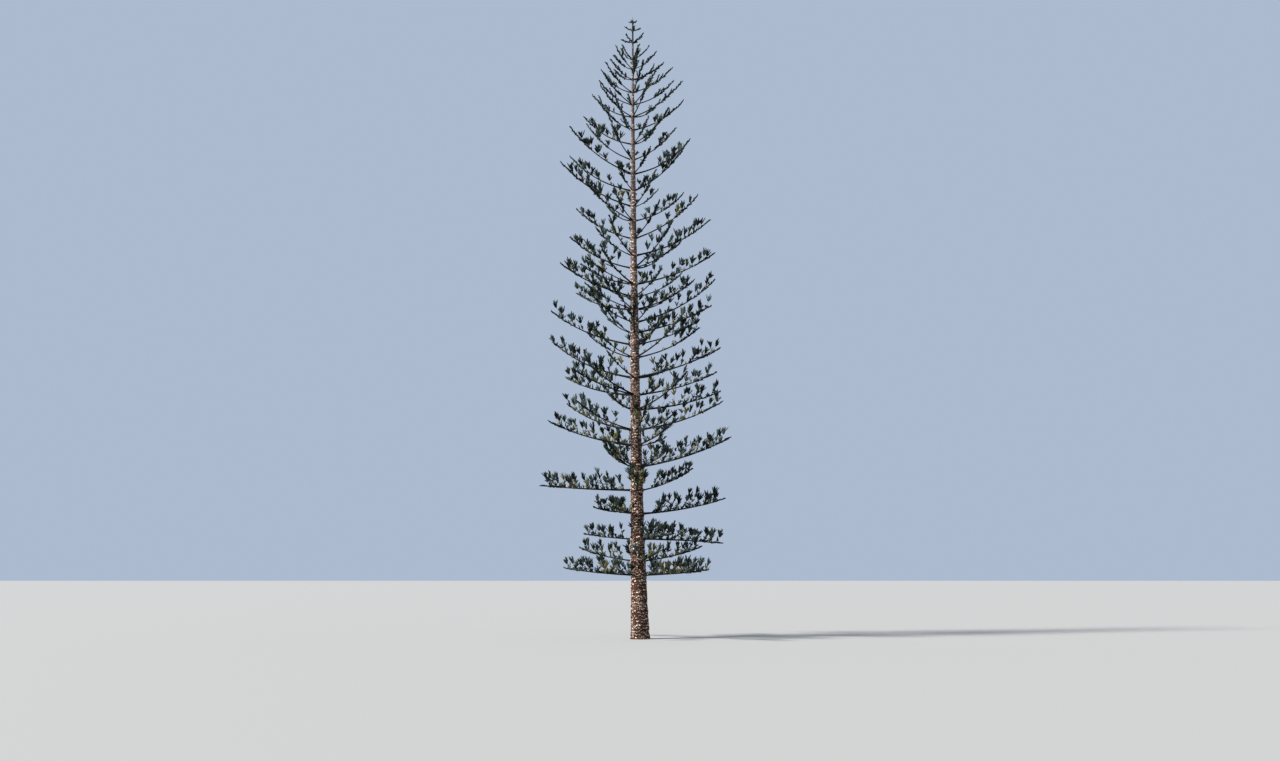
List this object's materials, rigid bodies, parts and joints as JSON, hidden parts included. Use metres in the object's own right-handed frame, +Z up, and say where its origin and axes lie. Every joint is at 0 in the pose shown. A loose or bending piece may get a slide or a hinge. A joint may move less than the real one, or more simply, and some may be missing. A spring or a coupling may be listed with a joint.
{
  "type": "norfolk island pine tree",
  "caption": "Tall open conical conifer: a straight tapering trunk, tiers of upswept boughs round it, and upright tufts of cord-like foliage on each bough.",
  "frame": {"origin": "the centre of the flat cut under the trunk, at ground level", "axes": "+Z up along the trunk, -Y towards the side seen in the picture, +X to the right of it"},
  "size_m": [10.6022, 9.4935, 34.35],
  "materials": {
    "trunk_bark": "rough flaking grey-brown bark, pale on its ridges and ringed at each whorl",
    "bough_bark": "rough grey-brown bark, finer than the trunk's",
    "foliage": "matt dark grey-green cord-like foliage, with olive and yellow-green tufts among it"
  },
  "bodies": {
    "root": {"bough_1_back": "bough_bark", "bough_1_front": "bough_bark", "bough_1_left": "bough_bark", "bough_1_right": "bough_bark", "bough_2_back": "bough_bark", "bough_2_front": "bough_bark", "bough_2_left": "bough_bark", "bough_2_right": "bough_bark", "bough_3_back": "bough_bark", "bough_3_front": "bough_bark", "bough_3_left": "bough_bark", "bough_3_right": "bough_bark", "foliage_1_back": "foliage", "foliage_1_front": "foliage", "foliage_1_left": "foliage", "foliage_1_right": "foliage", "foliage_2_back": "foliage", "foliage_2_front": "foliage", "foliage_2_left": "foliage", "foliage_2_right": "foliage", "foliage_3_back": "foliage", "foliage_3_front": "foliage", "foliage_3_left": "foliage", "foliage_3_right": "foliage", "trunk": "trunk_bark", "whorl_04": "foliage", "whorl_05": "foliage", "whorl_06": "foliage", "whorl_07": "foliage", "whorl_08": "foliage", "whorl_09": "foliage", "whorl_10": "foliage", "whorl_11": "foliage", "whorl_12": "foliage", "whorl_13": "foliage", "whorl_14": "foliage", "whorl_15": "foliage", "whorl_16": "foliage", "whorl_17": "foliage", "whorl_18": "foliage", "whorl_19": "foliage", "whorl_20": "foliage", "whorl_21": "foliage", "whorl_22": "foliage", "whorl_23": "foliage", "whorl_24": "foliage", "whorl_25": "foliage", "whorl_26": "foliage", "whorl_27": "foliage", "whorl_28": "foliage", "whorl_29": "foliage", "whorl_30": "foliage", "whorl_31": "foliage", "whorl_32": "foliage", "whorl_33": "foliage", "whorl_34": "foliage", "whorl_35": "foliage", "whorl_36": "foliage", "whorl_37": "foliage"}
  },
  "joints": []
}
